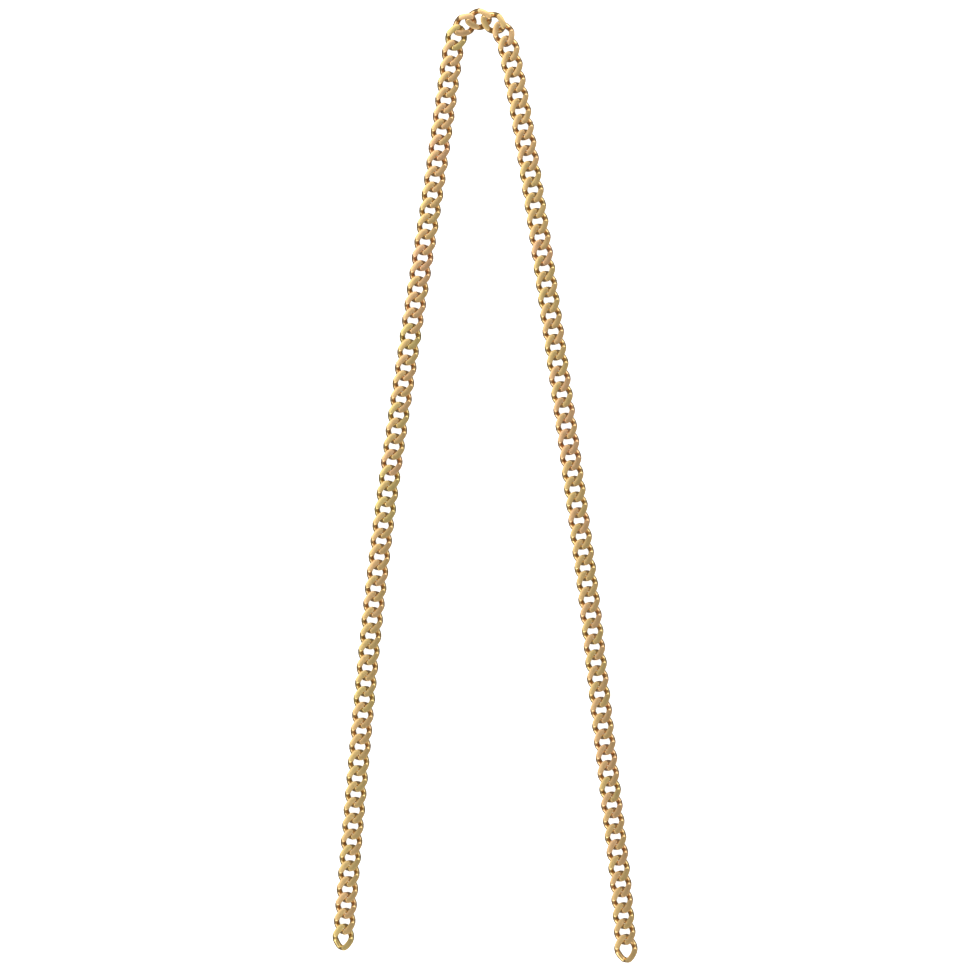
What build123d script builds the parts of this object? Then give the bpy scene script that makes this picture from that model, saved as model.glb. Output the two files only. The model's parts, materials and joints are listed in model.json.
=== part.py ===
from build123d import *
import math
import os

# Pocket watch chain: a plain curb chain of filed, twisted oval links, laid flat as a narrow inverted V.
# Frame: +Z up, +Y towards the top of the V, origin on the floor under the middle of the chain. Millimetres.

# ---- driving dimensions ----
WIRE_DIA = 1.06            # round wire the links are bent from
LINK_WIDTH = 4.72          # outside width of a link, across the chain
LINK_LENGTH = 5.75         # outside length of a link, along the chain
PITCH = 3.40               # link centre to link centre when the chain is straight
FILED_THICKNESS = 1.70     # height left after the top and the underside are filed flat

LINK_COUNT = 120
LINKS_PER_NODE = 2         # two neighbouring links are stored together in one node
END_LINK_WIDTH = 5.08      # the last link of the right leg is a size larger, to take a fitting
END_LINK_LENGTH = 6.15
TOP_LINK = 60              # the link at the point of the V

# ---- twist of a curb link ----
END_LEAN = 60.0            # degrees that each end of the ring leans, one end each way
FULLNESS = 2.4             # 2 is a plain ellipse, more is squarer in the shoulders
LEAN_EASE = 1.4            # how early the lean builds up from the middle of the link
LEVEL_HEIGHT = 0.75        # the arms level off at this height above and below the middle, as if pressed
NARROWING = 0.80           # 0 keeps the oval's plan, 1 narrows the ends as much as a pure twist would
CORNERS = 20               # corners of the wire's centreline before they are rounded

# ---- how the chain lies: heading of a link, degrees clockwise from +Y, at named links ----
LEFT_LEG = [(1, 4.9), (13, 5.1), (19, 5.7), (26, 7.0), (32, 8.4), (38, 8.5), (45, 9.1), (51, 8.0), (55, 7.9)]
TOP_BEND = [(56, 8.0), (57, 8.5), (58, 17.0), (59, 50.0), (60, 85.0), (61, 120.0), (62, 154.5), (63, 168.0)]
RIGHT_LEG = [(65, 169.6), (69, 171.0), (76, 171.9), (95, 172.5), (101, 174.0), (107, 173.6), (114, 173.4),
             (118, 175.5), (120, 176.0)]


def link_heading(number):
    """Heading of link `number` in degrees clockwise from +Y, straight-line between the named links."""
    stations = LEFT_LEG + TOP_BEND + RIGHT_LEG
    for (low, low_heading), (high, high_heading) in zip(stations, stations[1:]):
        if low <= number <= high:
            share = (number - low) / (high - low)
            return low_heading + share * (high_heading - low_heading)
    raise ValueError(f"no heading for link {number}")


def heading_vector(number):
    """Unit vector along link `number`, in the plane of the floor."""
    angle = math.radians(link_heading(number))
    return Vector(math.sin(angle), math.cos(angle), 0)


def link_centres():
    """Centre of every link: neighbours meet half a pitch from both centres, and the box is centred on Z."""
    centres = [Vector(0, 0, 0)]
    for number in range(2, LINK_COUNT + 1):
        reach = PITCH / 2
        if number == LINK_COUNT:
            reach += (END_LINK_LENGTH - LINK_LENGTH) / 2
        centres.append(centres[-1] + heading_vector(number - 1) * (PITCH / 2) + heading_vector(number) * reach)
    return centres


def ring_point(turn, half_width, half_length):
    """Point on the bent wire's centreline: an oval whose ends twist opposite ways, narrow and level off."""
    across, along = math.cos(turn), math.sin(turn)
    x = half_width * math.copysign(abs(across) ** (2 / FULLNESS), across)
    y = half_length * math.copysign(abs(along) ** (2 / FULLNESS), along)
    lean = math.radians(END_LEAN) * math.tanh(LEAN_EASE * y / half_length) / math.tanh(LEAN_EASE)
    z = LEVEL_HEIGHT * math.tanh(-x * math.tan(lean) / LEVEL_HEIGHT)
    return Vector(x * math.cos(NARROWING * lean), y, z)


def ring_corners(half_width, half_length):
    """Corners of the centreline, equally spaced along the wire and pushed out so the arcs meet the oval."""
    fine = 7200
    samples = [ring_point(2 * math.pi * i / fine, half_width, half_length) for i in range(fine + 1)]
    travelled = [0.0]
    for here, there in zip(samples, samples[1:]):
        travelled.append(travelled[-1] + (there - here).length)
    push = 1 / math.sqrt(math.cos(math.pi / CORNERS))
    corners, i = [], 0
    for corner in range(CORNERS):
        while travelled[i] < travelled[-1] * (corner + 0.5) / CORNERS:
            i += 1
        corners.append(samples[i] * push)
    return corners


def half_ring_path(half_width, half_length):
    """Half of the centreline as tangent arcs, from the middle of one run to the middle of the opposite run."""
    corners = ring_corners(half_width, half_length)
    half = CORNERS // 2
    radii = []
    for i in range(half):
        before, corner, after = corners[i - 1], corners[i], corners[i + 1]
        turn = math.radians((corner - before).get_angle(after - corner))
        shorter = min((corner - before).length, (after - corner).length)
        radii.append(0.45 * shorter / math.tan(turn / 2))
    start = (corners[-1] + corners[0]) / 2
    end = (corners[half - 1] + corners[half]) / 2
    return FilletPolyline(start, *corners[:half], end, radius=radii)


def curb_link(width, length):
    """One link: half of the wire ring, filed flat above and below, joined to its half-turn copy."""
    path = half_ring_path((width - WIRE_DIA) / 2, (length - WIRE_DIA) / 2)
    section = Plane(origin=path @ 0, z_dir=path % 0) * Circle(WIRE_DIA / 2)
    half = sweep(section, path=path)
    half = half & Box(3 * LINK_WIDTH, 3 * LINK_LENGTH, FILED_THICKNESS)
    link = half + half.rotate(Axis.Z, 180)
    return link.solids()[0]


def main():
    """Places every link along the chain and writes one STEP file for each pair of neighbours."""
    os.makedirs("parts", exist_ok=True)
    link = curb_link(LINK_WIDTH, LINK_LENGTH)
    end_link = curb_link(END_LINK_WIDTH, END_LINK_LENGTH)
    print(f"one link: valid {link.is_valid}, {link.volume:.3f} mm3, {len(link.faces())} faces")
    print(f"end link: valid {end_link.is_valid}, {end_link.volume:.3f} mm3, {len(end_link.faces())} faces")
    placed = []
    for number, centre in enumerate(link_centres(), start=1):
        place = Pos(centre.X, centre.Y, FILED_THICKNESS / 2) * Rot(0, 0, -link_heading(number))
        placed.append(place * (end_link if number == LINK_COUNT else link))
    outermost = [placed[number - 1] for number in (1, TOP_LINK - 1, TOP_LINK, TOP_LINK + 1, LINK_COUNT)]
    box = Compound(children=outermost).bounding_box()
    shift = Pos(-box.center().X, -box.center().Y, 0)
    print(f"middle of the chain before centring: {box.center().X:.4f}, {box.center().Y:.4f}")
    placed = [shift * solid for solid in placed]
    for first in range(0, LINK_COUNT, LINKS_PER_NODE):
        pair = placed[first:first + LINKS_PER_NODE]
        name = f"link_pair_{first // LINKS_PER_NODE + 1:02d}"
        export_step(Compound(label=name, children=pair), f"parts/{name}.step")
    print(f"chain: {box.size.X:.2f} x {box.size.Y:.2f} x {box.size.Z:.2f} mm")


if __name__ == "__main__":
    main()
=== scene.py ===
"""Gold curb chain for a pocket watch: filed twisted links, their finish, and a plain studio."""
import json
import logging
import math
import random
from dataclasses import dataclass, field
from enum import Enum
from typing import Any

import bpy
import numpy as np
from mathutils import Matrix, Vector


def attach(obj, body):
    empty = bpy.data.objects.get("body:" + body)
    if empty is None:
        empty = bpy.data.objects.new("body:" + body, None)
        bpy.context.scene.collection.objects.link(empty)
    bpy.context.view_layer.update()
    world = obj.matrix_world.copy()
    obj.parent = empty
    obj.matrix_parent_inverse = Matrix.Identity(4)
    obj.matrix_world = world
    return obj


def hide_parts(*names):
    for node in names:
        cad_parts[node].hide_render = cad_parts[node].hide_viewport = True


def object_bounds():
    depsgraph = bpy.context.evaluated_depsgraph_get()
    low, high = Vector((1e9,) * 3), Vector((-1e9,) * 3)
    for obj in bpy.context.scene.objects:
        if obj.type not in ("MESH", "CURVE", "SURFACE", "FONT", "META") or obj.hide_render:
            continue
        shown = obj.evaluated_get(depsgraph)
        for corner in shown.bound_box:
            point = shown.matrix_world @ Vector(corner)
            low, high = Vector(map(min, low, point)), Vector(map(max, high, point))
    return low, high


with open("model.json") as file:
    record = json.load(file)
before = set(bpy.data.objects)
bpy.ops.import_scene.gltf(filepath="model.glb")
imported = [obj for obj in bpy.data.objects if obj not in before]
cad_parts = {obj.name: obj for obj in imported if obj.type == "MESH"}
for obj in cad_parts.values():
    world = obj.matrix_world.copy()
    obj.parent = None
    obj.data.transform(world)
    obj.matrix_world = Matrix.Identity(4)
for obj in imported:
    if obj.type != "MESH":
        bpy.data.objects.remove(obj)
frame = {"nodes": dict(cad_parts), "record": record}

LOG = logging.getLogger("watch_chain")
MM = 0.001
WELD = 0.002 * MM           # corners of a CAD mesh that are closer than this are one corner
CAD_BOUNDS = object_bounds()


class Socket(str, Enum):
    """Names of the shader sockets that the finishes set."""

    BASE_COLOR = "Base Color"
    METALLIC = "Metallic"
    ROUGHNESS = "Roughness"
    NORMAL = "Normal"
    GLOW_COLOR = "Emission Color"
    GLOW = "Emission Strength"


class LinkAttribute(str, Enum):
    """Per-vertex values that the link mesh carries for its material."""

    TONE = "link_tone"
    FACET = "filed_facet"
    SEAM = "solder_seam"


def linear(hex_colour: str) -> tuple[float, float, float, float]:
    """Turns an sRGB hex colour into the linear values that shaders use.

    Args:
        hex_colour: Six hex digits, with or without a leading hash.

    Returns:
        Linear red, green and blue, and an alpha of one.
    """
    digits = hex_colour.lstrip("#")
    channels = [int(digits[i:i + 2], 16) / 255 for i in (0, 2, 4)]
    red, green, blue = [c / 12.92 if c <= 0.04045 else ((c + 0.055) / 1.055) ** 2.4 for c in channels]
    return red, green, blue, 1.0


def add_node(tree: bpy.types.NodeTree, kind: str, settings: dict[str, Any] | None = None,
             inputs: dict[str | int, Any] | None = None) -> bpy.types.Node:
    """Adds one node, sets its properties, and sets or links its inputs.

    Args:
        tree: Node tree to add to.
        kind: Blender's name for the node type.
        settings: Properties of the node itself.
        inputs: Input name or number to a value, or to the output socket that feeds it.

    Returns:
        The new node.
    """
    node = tree.nodes.new(kind)
    for name, value in (settings or {}).items():
        setattr(node, name, value)
    for name, value in (inputs or {}).items():
        if isinstance(value, bpy.types.NodeSocket):
            tree.links.new(value, node.inputs[name])
        else:
            node.inputs[name].default_value = value
    return node


@dataclass(frozen=True)
class FiledGold:
    """Nine carat gold wire, filed flat on both sides of the chain and then polished.

    The eye sees broad ochre flats with softly brighter round edges, a warm brown where one link
    dips under the next, and links that differ a little in tone, some pinker and some greener.

    Attributes:
        name: The material's name.
        yellow: Colour of most links.
        rose: Colour of the pinkest.
        olive: Colour of the greenest.
        seam: Colour of the solder, a little duller.
        polish: Roughness of the round wire, before the clouds and marks add to it.
        facet_haze: Roughness that filing adds to the flats.
        cloud_haze: Roughness that the slow variation over the metal adds.
        mark_haze: Roughness that the file's marks add.
        scratch_pitch_mm: Spacing of the file's marks. Real ones are about 0.03 mm apart, and
            these are coarser so that they show.
        scratch_stretch: How much longer than its spacing a mark is.
        scratch_turn: Degrees that the marks are turned from the X axis.
        scratch_depth_mm: Depth of the marks.
        relief: How strongly the marks tilt the light, where 1 is their full depth.
        cloud_pitch_mm: Size of the slow variation, about a third of a link.
        tone_drift: How much the tone varies within a link, where 1 is from olive to rose.
    """

    name: str = "gold_9ct_filed_polished"
    yellow: str = "#E6C286"
    rose: str = "#E9BC8E"
    olive: str = "#DDC581"
    seam: str = "#BA9965"
    polish: float = 0.27
    facet_haze: float = 0.05
    cloud_haze: float = 0.08
    mark_haze: float = 0.06
    scratch_pitch_mm: float = 0.09
    scratch_stretch: float = 14.0
    scratch_turn: float = 28.0
    scratch_depth_mm: float = 0.012
    relief: float = 0.10
    cloud_pitch_mm: float = 1.6
    tone_drift: float = 0.5

    def build(self) -> bpy.types.Material:
        """Makes the material.

        Returns:
            A node material whose patterns are scaled from real millimetres.
        """
        material = bpy.data.materials.new(self.name)
        material.use_nodes = True
        tree = material.node_tree
        tree.nodes.clear()
        tone = add_node(tree, "ShaderNodeAttribute", {"attribute_name": LinkAttribute.TONE.value})
        facet = add_node(tree, "ShaderNodeAttribute", {"attribute_name": LinkAttribute.FACET.value})
        seam = add_node(tree, "ShaderNodeAttribute", {"attribute_name": LinkAttribute.SEAM.value})
        place = add_node(tree, "ShaderNodeTexCoord")
        clouds = add_node(tree, "ShaderNodeTexNoise", {}, {
            "Vector": place.outputs["Object"], "Scale": 1 / (self.cloud_pitch_mm * MM),
            "Detail": 3.0, "Roughness": 0.55})
        fine = add_node(tree, "ShaderNodeTexNoise", {}, {
            "Vector": place.outputs["Object"], "Scale": 1 / (self.scratch_pitch_mm * MM),
            "Detail": 4.0, "Roughness": 0.7})
        streaks = self._streaks(tree, place.outputs["Object"])
        colour = self._colour(tree, tone.outputs["Fac"], clouds.outputs["Fac"], seam.outputs["Fac"])
        roughness = self._roughness(tree, facet.outputs["Fac"], clouds.outputs["Fac"], streaks)
        relief = add_node(tree, "ShaderNodeMath", {"operation": "ADD"}, {
            0: streaks, 1: fine.outputs["Fac"]})
        bump = add_node(tree, "ShaderNodeBump", {}, {
            "Strength": self.relief, "Distance": self.scratch_depth_mm * MM, "Height": relief.outputs[0]})
        shader = add_node(tree, "ShaderNodeBsdfPrincipled", {}, {
            Socket.BASE_COLOR.value: colour, Socket.METALLIC.value: 1.0,
            Socket.ROUGHNESS.value: roughness, Socket.NORMAL.value: bump.outputs["Normal"]})
        add_node(tree, "ShaderNodeOutputMaterial", {}, {"Surface": shader.outputs["BSDF"]})
        return material

    def _streaks(self, tree: bpy.types.NodeTree, position: bpy.types.NodeSocket) -> bpy.types.NodeSocket:
        """Adds the file's fine parallel marks.

        Args:
            tree: The material's node tree.
            position: The piece's own coordinates, in metres.

        Returns:
            A value from 0 to 1, long one way and fine the other.
        """
        pitch = self.scratch_pitch_mm * MM
        turned = add_node(tree, "ShaderNodeMapping", {}, {
            "Vector": position, "Rotation": (0.0, 0.0, math.radians(self.scratch_turn)),
            "Scale": (1 / pitch, 1 / (self.scratch_stretch * pitch), 1.0)})
        marks = add_node(tree, "ShaderNodeTexNoise", {}, {
            "Vector": turned.outputs["Vector"], "Scale": 1.0, "Detail": 3.0, "Roughness": 0.6})
        return marks.outputs["Fac"]

    def _colour(self, tree: bpy.types.NodeTree, tone: bpy.types.NodeSocket, clouds: bpy.types.NodeSocket,
                seam: bpy.types.NodeSocket) -> bpy.types.NodeSocket:
        """Adds the gold's colour, which drifts from link to link and within a link.

        Args:
            tree: The material's node tree.
            tone: The link's own tone, from 0 to 1.
            clouds: Slow variation over the metal.
            seam: How near the surface is to the soldered joint.

        Returns:
            The base colour.
        """
        drift = add_node(tree, "ShaderNodeMath", {"operation": "MULTIPLY_ADD"}, {
            0: clouds, 1: self.tone_drift, 2: tone})
        moved = add_node(tree, "ShaderNodeMath", {"operation": "SUBTRACT", "use_clamp": True}, {
            0: drift.outputs[0], 1: self.tone_drift / 2})
        ramp = add_node(tree, "ShaderNodeValToRGB", {}, {"Fac": moved.outputs[0]})
        stops = ramp.color_ramp.elements
        stops[0].position, stops[0].color = 0.0, linear(self.olive)
        stops[1].position, stops[1].color = 1.0, linear(self.rose)
        stops.new(0.5).color = linear(self.yellow)
        mixed = add_node(tree, "ShaderNodeMix", {"data_type": "RGBA"}, {
            "Factor": seam, 6: ramp.outputs["Color"], 7: linear(self.seam)})
        return mixed.outputs[2]

    def _roughness(self, tree: bpy.types.NodeTree, facet: bpy.types.NodeSocket,
                   clouds: bpy.types.NodeSocket, streaks: bpy.types.NodeSocket) -> bpy.types.NodeSocket:
        """Adds the gloss: round wire is brighter polished than the filed flats.

        Args:
            tree: The material's node tree.
            facet: 1 on a filed flat and 0 on the round wire.
            clouds: Slow variation over the metal.
            streaks: The file's fine marks.

        Returns:
            The roughness.
        """
        flat = add_node(tree, "ShaderNodeMath", {"operation": "MULTIPLY_ADD"}, {
            0: facet, 1: self.facet_haze, 2: self.polish})
        worn = add_node(tree, "ShaderNodeMath", {"operation": "MULTIPLY_ADD"}, {
            0: clouds, 1: self.cloud_haze, 2: flat.outputs[0]})
        marked = add_node(tree, "ShaderNodeMath", {"operation": "MULTIPLY_ADD"}, {
            0: streaks, 1: self.mark_haze, 2: worn.outputs[0]})
        return marked.outputs[0]


@dataclass(frozen=True)
class BacklitAcrylic:
    """Backlit white acrylic sheet, with a matt face.

    The eye sees an even white table that glows enough to fill the shadows on it.

    Attributes:
        name: The material's name.
        colour: Colour of the sheet and of its glow.
        roughness: Of the matt face.
        glow: Strength of the light from below.
    """

    name: str = "white_acrylic_backlit"
    colour: str = "#FCFCFC"
    roughness: float = 0.95
    glow: float = 0.80

    def build(self) -> bpy.types.Material:
        """Makes the material.

        Returns:
            A matt white material.
        """
        material = bpy.data.materials.new(self.name)
        material.use_nodes = True
        shader = material.node_tree.nodes["Principled BSDF"]
        shader.inputs[Socket.BASE_COLOR.value].default_value = linear(self.colour)
        shader.inputs[Socket.ROUGHNESS.value].default_value = self.roughness
        shader.inputs[Socket.GLOW_COLOR.value].default_value = linear(self.colour)
        shader.inputs[Socket.GLOW.value].default_value = self.glow
        return material


@dataclass(frozen=True)
class LinkShape:
    """How every curb link is bent and filed.

    Attributes:
        wire: Diameter of the wire, in metres.
        end_lean: Degrees that each end of the ring leans, one end each way.
        lean_ease: How early the lean builds up from the middle of the link.
        level_height: Height, in metres, at which the arms level off above and below the middle.
        fullness: 2 is a plain ellipse, more is squarer in the shoulders.
        narrowing: 0 keeps the oval's plan, 1 narrows the ends as much as a pure twist would.
        edge_round: Width of the softened edge of a filed flat, in metres.
        least_flat: Half angle, in radians, of the rows kept where the wire isn't filed.
        spread: How much wider than the wire a pressed flat is, towards the middle of the link.
        outer_spread: The same on the outer side, where the neighbouring link leaves less room.
        press_reach: Depth below a flat that the press widens, as a share of half the thickness.
        crown: Slope of a flat at its edges, where polishing has rounded it over.
        dome: Slope of the flats outwards at the sides of the chain, which wear makes slightly domed.
        bulge: How much wider than round the wire is beside the hole, towards the middle of the link.
        arch_bulge: The same at the ends of the link, where neighbours touch.
        hole_length: Length that counts as beside the hole, as a share of the link's length.
        rings: Sections along the wire.
        flat_steps: Divisions across half of a filed flat.
        arc_steps: Divisions of the round of the wire between the two flats.
        seam_depth: How strongly the solder shows at the middle of its joint.
        seam_rings: Distance over which it fades, in sections along the wire.
    """

    wire: float = 1.06 * MM
    end_lean: float = 60.0
    lean_ease: float = 1.4
    level_height: float = 0.75 * MM
    fullness: float = 2.4
    narrowing: float = 0.80
    edge_round: float = 0.11 * MM
    least_flat: float = 0.22
    spread: float = 0.20
    outer_spread: float = 0.12
    press_reach: float = 0.7
    crown: float = 0.20
    dome: float = 0.22
    bulge: float = 0.30
    arch_bulge: float = 0.15
    hole_length: float = 0.77
    rings: int = 84
    flat_steps: int = 2
    arc_steps: int = 7
    seam_depth: float = 0.45
    seam_rings: float = 1.2


@dataclass(frozen=True)
class LinkPlace:
    """Where one link of the CAD frame is, and how large it is.

    Attributes:
        centre: Middle of the link, in metres.
        along: Unit vector along the link.
        width: Outside width, in metres.
        length: Outside length, in metres.
        thickness: Height between the filed flats, in metres.
    """

    centre: Vector
    along: Vector
    width: float
    length: float
    thickness: float

    @classmethod
    def measure(cls, points: np.ndarray, triangles: np.ndarray) -> "LinkPlace":
        """Measures one closed solid.

        Args:
            points: The solid's corners, in metres.
            triangles: Three corner numbers for each face.

        Returns:
            Its place and size. Its length is along the axis of least moment in the floor's plane.
        """
        middle = points.mean(axis=0)
        for _ in range(2):
            corners = [points[triangles[:, i]] - middle for i in range(3)]
            volume = np.einsum("ij,ij->i", corners[0], np.cross(corners[1], corners[2])) / 6
            middle = middle + (sum(corners) / 4 * volume[:, None]).sum(axis=0) / volume.sum()
        total = sum(corners)
        spread = sum(np.einsum("i,ij,ik->jk", volume, p, p) for p in corners)
        spread = spread + np.einsum("i,ij,ik->jk", volume, total, total)
        _, vectors = np.linalg.eigh(spread[:2, :2])
        along = np.array([vectors[0, 1], vectors[1, 1], 0.0])
        across = np.array([along[1], -along[0], 0.0])
        offset = points - middle
        return cls(centre=Vector(middle), along=Vector(along), width=float(np.ptp(offset @ across)),
                   length=float(np.ptp(offset @ along)), thickness=float(np.ptp(offset[:, 2])))

    def matrix(self) -> Matrix:
        """Gives the link's placement.

        Returns:
            A matrix from the link's own axes, length along Y, to the shared frame.
        """
        across = Vector((self.along.y, -self.along.x, 0.0))
        turn = Matrix((across, self.along, Vector((0.0, 0.0, 1.0)))).transposed().to_4x4()
        return Matrix.Translation(self.centre) @ turn


@dataclass
class LinkSurface:
    """The surface of one link in its own axes.

    Attributes:
        points: Corners.
        normals: The surface's direction at each corner.
        faces: Four corner numbers for each face.
        facet: 1 on a filed flat, 0 on the round wire.
        seam: 1 at the soldered joint, falling to 0 beside it.
    """

    points: list[Vector] = field(default_factory=list)
    normals: list[Vector] = field(default_factory=list)
    faces: list[tuple[int, int, int, int]] = field(default_factory=list)
    facet: list[float] = field(default_factory=list)
    seam: list[float] = field(default_factory=list)


class CurbLink:
    """One twisted oval link, filed flat above and below, with softened edges."""

    def __init__(self, place: LinkPlace, shape: LinkShape, dice: random.Random) -> None:
        """Takes the link's place and its small differences from its neighbours.

        Args:
            place: Where the CAD link is, and its size.
            shape: How links are bent and filed.
            dice: Source of the small differences.
        """
        self.place = place
        self.shape = shape
        self.tone = min(1.0, max(0.0, dice.gauss(0.5, 0.22)))
        self.seam_at = dice.choice((0.02, 0.52)) + dice.uniform(-0.02, 0.02)  # share of the way round

    def centreline(self, turn: float) -> Vector:
        """Gives a point on the wire's centreline.

        Args:
            turn: Angle round the ring, in radians.

        Returns:
            The point in the link's own axes.
        """
        half_width = (self.place.width - self.shape.wire) / 2
        half_length = (self.place.length - self.shape.wire) / 2
        across, along = math.cos(turn), math.sin(turn)
        x = half_width * math.copysign(abs(across) ** (2 / self.shape.fullness), across)
        y = half_length * math.copysign(abs(along) ** (2 / self.shape.fullness), along)
        ease, level = self.shape.lean_ease, self.shape.level_height
        lean = math.radians(self.shape.end_lean) * math.tanh(ease * y / half_length) / math.tanh(ease)
        height = level * math.tanh(-x * math.tan(lean) / level)
        return Vector((x * math.cos(self.shape.narrowing * lean), y, height))

    def stations(self) -> list[Vector]:
        """Gives evenly spaced points round the centreline.

        Returns:
            One point for each section.
        """
        fine = 4000
        samples = np.array([self.centreline(2 * math.pi * i / fine) for i in range(fine + 1)])
        travelled = np.concatenate([[0.0], np.cumsum(np.linalg.norm(np.diff(samples, axis=0), axis=1))])
        wanted = np.arange(self.shape.rings) * travelled[-1] / self.shape.rings
        return [Vector([float(np.interp(w, travelled, samples[:, k])) for k in range(3)]) for w in wanted]

    def section_angles(self, half_flat_top: float, half_flat_base: float) -> list[tuple[float, int]]:
        """Spaces the corners of one section so that rows follow the edges of both flats.

        Args:
            half_flat_top: Half angle that the upper flat covers, from straight up.
            half_flat_base: Half angle that the lower flat covers, from straight down.

        Returns:
            Angles from straight up, each with 1 on the upper flat, -1 on the lower one and 0 between.
        """
        ease = self.shape.edge_round / self.shape.wire
        steps, arc = self.shape.flat_steps, self.shape.arc_steps
        top, base = half_flat_top, half_flat_base
        angles = [((top - ease) * i / steps, 1) for i in range(-steps, steps + 1)]
        first, last = top + ease, math.pi - base - ease
        angles += [(first + (last - first) * i / arc, 0) for i in range(arc + 1)]
        angles += [(math.pi + (base - ease) * i / steps, -1) for i in range(-steps, steps + 1)]
        first, last = math.pi + base + ease, 2 * math.pi - top - ease
        angles += [(first + (last - first) * i / arc, 0) for i in range(arc + 1)]
        return angles

    def bulge_at(self, middle: Vector) -> float:
        """Gives how far the wire bulges inwards.

        Args:
            middle: Point on the centreline.

        Returns:
            The bulge, as a share of the wire's radius.
        """
        beside_hole = max(0.0, 1 - abs(2 * middle.y / (self.shape.hole_length * self.place.length)))
        return max(self.shape.arch_bulge, self.shape.bulge * beside_hole)

    def pressed_at(self, point: Vector, middle: Vector) -> float:
        """Gives how much of the press's widening reaches a point.

        Args:
            point: Point on the surface.
            middle: The centreline's point for the same section.

        Returns:
            1 at a flat where the wire is highest or lowest, falling to 0 below it.
        """
        half = self.place.thickness / 2
        below = (half - abs(point.z)) / (self.shape.press_reach * half)
        return max(0.0, 1 - below) * min(1.0, abs(middle.z) / half)

    def surface(self) -> LinkSurface:
        """Sweeps the wire's section round the ring and files it flat.

        Returns:
            The link's surface.
        """
        result = LinkSurface()
        shape, spine = self.shape, self.stations()
        count = len(spine)
        radius, half = shape.wire / 2, self.place.thickness / 2
        per_ring = 0
        for i, middle in enumerate(spine):
            forward = (spine[(i + 1) % count] - spine[i - 1]).normalized()
            up = (Vector((0, 0, 1)) - forward * forward.z).normalized()
            side = forward.cross(up)
            rise = radius * up.z
            top = math.acos(max(-1.0, min(1.0, (half - middle.z) / rise)))
            base = math.acos(max(-1.0, min(1.0, (half + middle.z) / rise)))
            angles = self.section_angles(max(top, shape.least_flat), max(base, shape.least_flat))
            per_ring = len(angles)
            away = min((i / count - self.seam_at) % 1.0, (self.seam_at - i / count) % 1.0)
            for angle, flat in angles:
                sideways = math.sin(angle)
                outward = up * math.cos(angle) + side * sideways
                point = middle + outward * radius
                filed = flat != 0 and abs(point.z) > half
                point.z = max(-half, min(half, point.z))
                inward = side * sideways
                if inward.dot(middle) < 0:
                    widening = self.bulge_at(middle) + shape.spread * self.pressed_at(point, middle)
                else:
                    widening = shape.outer_spread * self.pressed_at(point, middle)
                point += inward * (radius * widening)
                result.points.append(point)
                outwards = 2 * middle.x / self.place.width * shape.dome
                crowned = Vector((outwards, 0, flat)) + inward * shape.crown
                result.normals.append(crowned.normalized() if filed else outward)
                result.facet.append(1.0 if filed else 0.0)
                result.seam.append(max(0.0, 1.0 - away * count / shape.seam_rings) * shape.seam_depth)
        for i in range(count):
            here, there = i * per_ring, ((i + 1) % count) * per_ring
            for k in range(per_ring):
                following = (k + 1) % per_ring
                result.faces.append((here + k, here + following, there + following, there + k))
        return result


class LinkPair:
    """Two neighbouring links that ride on one body."""

    def __init__(self, node: str, body: str, links: list[CurbLink]) -> None:
        """Takes the links.

        Args:
            node: The CAD node that the pair stands for.
            body: The body that it rides on.
            links: Its links.
        """
        self.node = node
        self.body = body
        self.links = links

    def build(self, material: bpy.types.Material) -> bpy.types.Object:
        """Makes the piece, with its finish, and ties it to its body.

        Args:
            material: The gold.

        Returns:
            The new object.
        """
        points: list[Vector] = []
        normals: list[Vector] = []
        faces: list[tuple[int, ...]] = []
        values: dict[LinkAttribute, list[float]] = {name: [] for name in LinkAttribute}
        for link in self.links:
            surface, matrix = link.surface(), link.place.matrix()
            start, turn = len(points), matrix.to_3x3()
            points += [matrix @ p for p in surface.points]
            normals += [(turn @ n).normalized() for n in surface.normals]
            faces += [tuple(start + corner for corner in face) for face in surface.faces]
            values[LinkAttribute.TONE] += [link.tone] * len(surface.points)
            values[LinkAttribute.FACET] += surface.facet
            values[LinkAttribute.SEAM] += surface.seam
        mesh = bpy.data.meshes.new(self.node + "_gold")
        mesh.from_pydata([tuple(p) for p in points], [], faces)
        mesh.shade_smooth()
        for name, numbers in values.items():
            attribute = mesh.attributes.new(name.value, "FLOAT", "POINT")
            attribute.data.foreach_set("value", numbers)
        mesh.normals_split_custom_set_from_vertices([tuple(n) for n in normals])
        mesh.materials.append(material)
        piece = bpy.data.objects.new(self.node + "_gold", mesh)
        bpy.context.scene.collection.objects.link(piece)
        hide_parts(self.node)
        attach(piece, self.body)
        LOG.info("%s: %d links on body %s", piece.name, len(self.links), self.body)
        return piece


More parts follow.
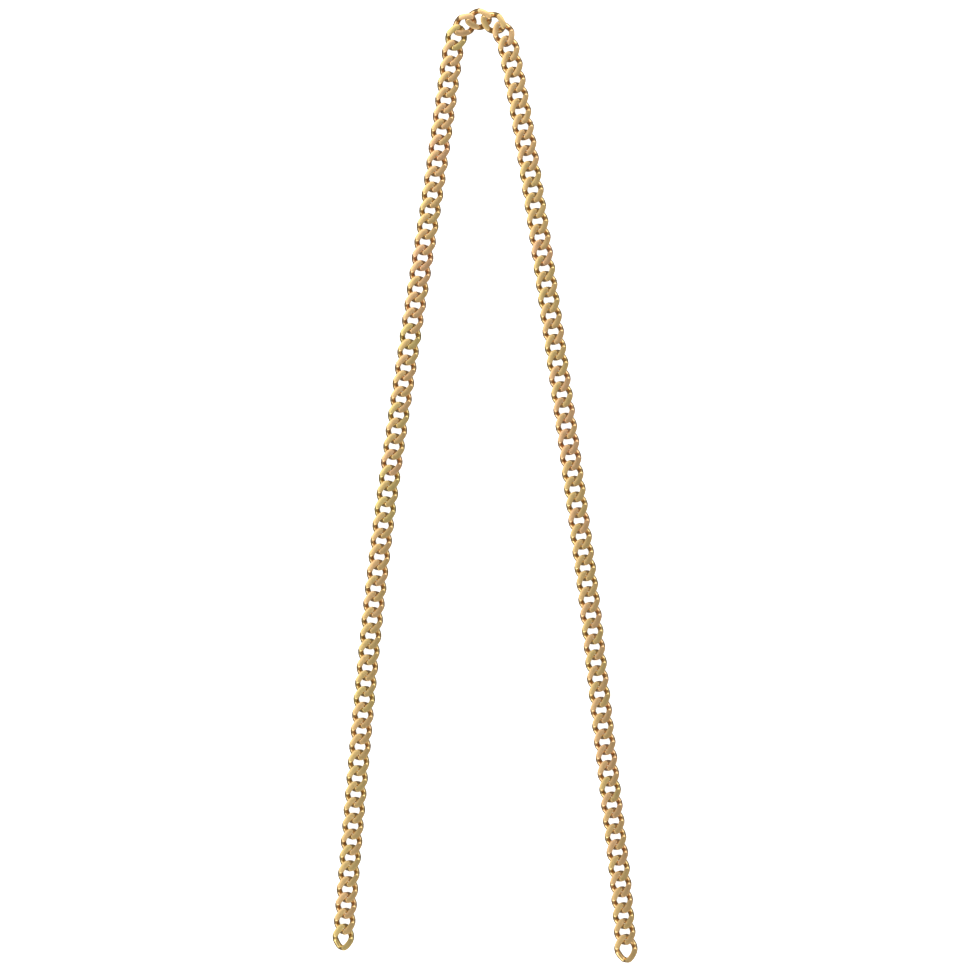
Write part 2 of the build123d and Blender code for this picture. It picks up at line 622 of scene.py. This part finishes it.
class Chain:
    """The whole chain, read from the CAD frame."""

    def __init__(self, shape: LinkShape, seed: int = 17) -> None:
        """Measures every CAD link.

        Args:
            shape: How links are bent and filed.
            seed: Makes the small differences the same each time.
        """
        dice = random.Random(seed)
        self.pairs: list[LinkPair] = []
        for body, nodes in frame["record"]["behaviour"]["bodies"].items():
            for node in nodes:
                places = self.measure_solids(frame["nodes"][node])
                self.pairs.append(LinkPair(node, body, [CurbLink(p, shape, dice) for p in places]))
        LOG.info("%d links in %d nodes", sum(len(p.links) for p in self.pairs), len(self.pairs))

    @staticmethod
    def measure_solids(node_object: bpy.types.Object) -> list[LinkPlace]:
        """Measures the separate solids of one CAD node.

        Args:
            node_object: The node's object.

        Returns:
            A place for each solid.
        """
        mesh = node_object.data
        mesh.calc_loop_triangles()
        matrix = np.array(node_object.matrix_world)
        points = np.array([tuple(v.co) for v in mesh.vertices]) @ matrix[:3, :3].T + matrix[:3, 3]
        keys = {}
        same = np.array([keys.setdefault(tuple(np.round(p / WELD).astype(int)), len(keys))
                         for p in points])
        corners = np.zeros((len(keys), 3))
        corners[same] = points
        triangles = same[np.array([tuple(t.vertices) for t in mesh.loop_triangles])]
        group = np.arange(len(corners))
        while True:
            lowest = group[triangles].min(axis=1)
            new = group.copy()
            for k in range(3):
                np.minimum.at(new, triangles[:, k], lowest)
            if (new == group).all():
                break
            group = new
        places = []
        for label in np.unique(group[triangles[:, 0]]):
            chosen = triangles[group[triangles[:, 0]] == label]
            used, numbers = np.unique(chosen, return_inverse=True)
            places.append(LinkPlace.measure(corners[used], numbers.reshape(chosen.shape)))
        return places

    def build(self, finish: FiledGold) -> None:
        """Makes every pair.

        Args:
            finish: The gold's finish.
        """
        material = finish.build()
        for pair in self.pairs:
            pair.build(material)


@dataclass(frozen=True)
class Softbox:
    """One square soft light.

    Attributes:
        name: The light's name.
        position: Its place, in metres.
        size: Length of a side, in metres.
        power: In watts.
    """

    name: str
    position: tuple[float, float, float]
    size: float
    power: float

    def build(self) -> None:
        """Makes the light, aimed at the middle of the chain."""
        data = bpy.data.lights.new(self.name, "AREA")
        data.shape, data.size, data.energy = "SQUARE", self.size, self.power
        light = bpy.data.objects.new(self.name, data)
        light.location = self.position
        light.rotation_euler = (-Vector(self.position)).to_track_quat("-Z", "Y").to_euler()
        bpy.context.scene.collection.objects.link(light)


@dataclass(frozen=True)
class Studio:
    """A glowing white table, soft light from the sides, and a camera straight above.

    Attributes:
        field_width: Width of the view at the chain, in metres.
        camera_height: Height of the camera, in metres.
        overhead: Brightness of the surroundings straight above.
        horizon: Brightness of the surroundings low down, which darkens the wire's round sides.
        ring: Brightness of the ring of diffusers.
        ring_heights: Lower and upper limit of the ring, as the sine of the height.
        dim_side: Direction of the middle of the dim ceiling, which makes left-facing flats lighter.
        floor_size: Length of a side of the table, in metres.
        floor_gap: Distance from the chain's underside to the table, in metres.
        lights: The soft lights.
    """

    field_width: float = 207.4 * MM
    camera_height: float = 1.2
    overhead: float = 0.13
    horizon: float = 0.19
    ring: float = 0.97
    ring_heights: tuple[float, float] = (0.42, 0.70)
    dim_side: tuple[float, float, float] = (0.22, -0.12, 0.97)
    floor_size: float = 6.0
    floor_gap: float = 0.02 * MM
    lights: tuple[Softbox, ...] = (
        Softbox("key_left", (-0.60, 0.35, 0.55), 0.80, 3.3),
        Softbox("front", (-0.15, -0.75, 0.42), 0.90, 5.4),
        Softbox("back", (0.15, 0.75, 0.42), 0.90, 5.4),
    )

    def build(self) -> None:
        """Makes the floor, the surroundings, the lights and the camera."""
        bpy.ops.mesh.primitive_plane_add(
            size=self.floor_size, location=(0.0, 0.0, CAD_BOUNDS[0][2] - self.floor_gap))
        floor = bpy.context.object
        floor.name = "floor"
        floor.data.materials.append(BacklitAcrylic().build())
        floor.visible_glossy = False    # else its glow shows in the rims of the wire and pales them
        bpy.context.scene.world = self.surroundings()
        for light in self.lights:
            light.build()
        data = bpy.data.cameras.new("camera")
        data.sensor_width = 36.0
        data.lens = 36.0 * self.camera_height / self.field_width
        data.clip_start, data.clip_end = 0.01, 20.0
        camera = bpy.data.objects.new("camera", data)
        camera.location = (0.0, 0.0, self.camera_height + CAD_BOUNDS[1][2])
        bpy.context.scene.collection.objects.link(camera)
        bpy.context.scene.camera = camera
        bpy.context.scene.view_settings.view_transform = "Standard"

    def surroundings(self) -> bpy.types.World:
        """Makes a room with a bright ring of diffusers round a dimmer ceiling, and a dim horizon.

        Returns:
            The world.
        """
        world = bpy.data.worlds.new("studio_surroundings")
        world.use_nodes = True
        tree = world.node_tree
        tree.nodes.clear()
        direction = add_node(tree, "ShaderNodeTexCoord")
        toward = add_node(tree, "ShaderNodeVectorMath", {"operation": "DOT_PRODUCT"}, {
            0: direction.outputs["Generated"], 1: Vector(self.dim_side).normalized()})
        level = add_node(tree, "ShaderNodeValToRGB", {}, {"Fac": toward.outputs["Value"]})
        level.color_ramp.interpolation = "EASE"
        stops = level.color_ramp.elements
        stops[0].position, stops[0].color = 0.0, (self.horizon, self.horizon, self.horizon, 1.0)
        stops[1].position, stops[1].color = 1.0, (self.overhead, self.overhead, self.overhead, 1.0)
        for height in self.ring_heights:
            stops.new(height).color = (self.ring, self.ring, self.ring, 1.0)
        background = add_node(tree, "ShaderNodeBackground", {}, {
            "Color": level.outputs["Color"], "Strength": 1.0})
        add_node(tree, "ShaderNodeOutputWorld", {}, {"Surface": background.outputs["Background"]})
        return world


def write_sizes() -> None:
    """Brings the view layer up to date."""
    bpy.context.view_layer.update()


def main() -> None:
    """Builds the studio and the chain."""
    logging.basicConfig(level=logging.INFO)
    Studio().build()
    Chain(LinkShape()).build(FiledGold())
    write_sizes()


if __name__ == "__main__":
    main()
